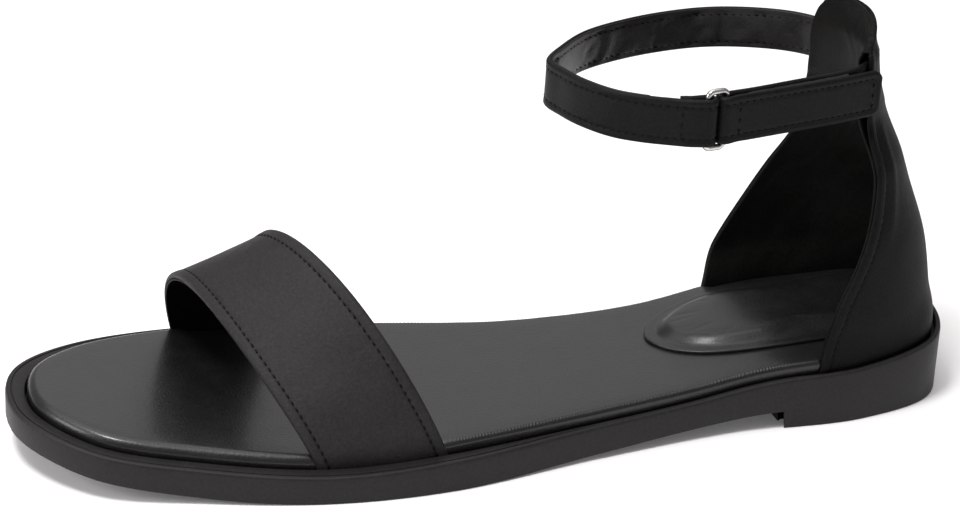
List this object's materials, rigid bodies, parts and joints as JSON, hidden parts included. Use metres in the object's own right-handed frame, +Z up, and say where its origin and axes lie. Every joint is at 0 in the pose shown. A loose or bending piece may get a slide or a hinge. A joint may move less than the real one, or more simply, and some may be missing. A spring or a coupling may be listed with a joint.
{
  "type": "ankle strap sandal",
  "caption": "Flat open-toe sandal for the left foot with a band over the toes, a tall heel counter and a strap round the ankle that doubles back through a small metal loop.",
  "frame": {"origin": "on the floor, at the middle of the sole's outline", "axes": "+Z up, +Y towards the back of the heel, so the toe points to -Y, +X towards the outer side of the left foot"},
  "size_m": [0.0916, 0.2544, 0.1054],
  "materials": {
    "sole_rubber": "matt moulded black rubber",
    "footbed_leather": "smooth warm black lining leather with a soft gloss",
    "pad_leather": "smooth warm black lining leather with a soft gloss",
    "upper_leather": "matt black leather with a fine even grain",
    "counter_leather": "matt black leather with a fine even grain, smooth lining inside",
    "strap_leather": "matt black leather with a fine even grain, smooth lining inside",
    "ring_metal": "polished nickel plate"
  },
  "bodies": {
    "root": {"outsole": "sole_rubber", "footbed": "footbed_leather", "heel_pad": "pad_leather", "toe_band": "upper_leather", "heel_counter": "counter_leather", "ankle_strap": "strap_leather", "strap_ring": "ring_metal"}
  },
  "joints": []
}
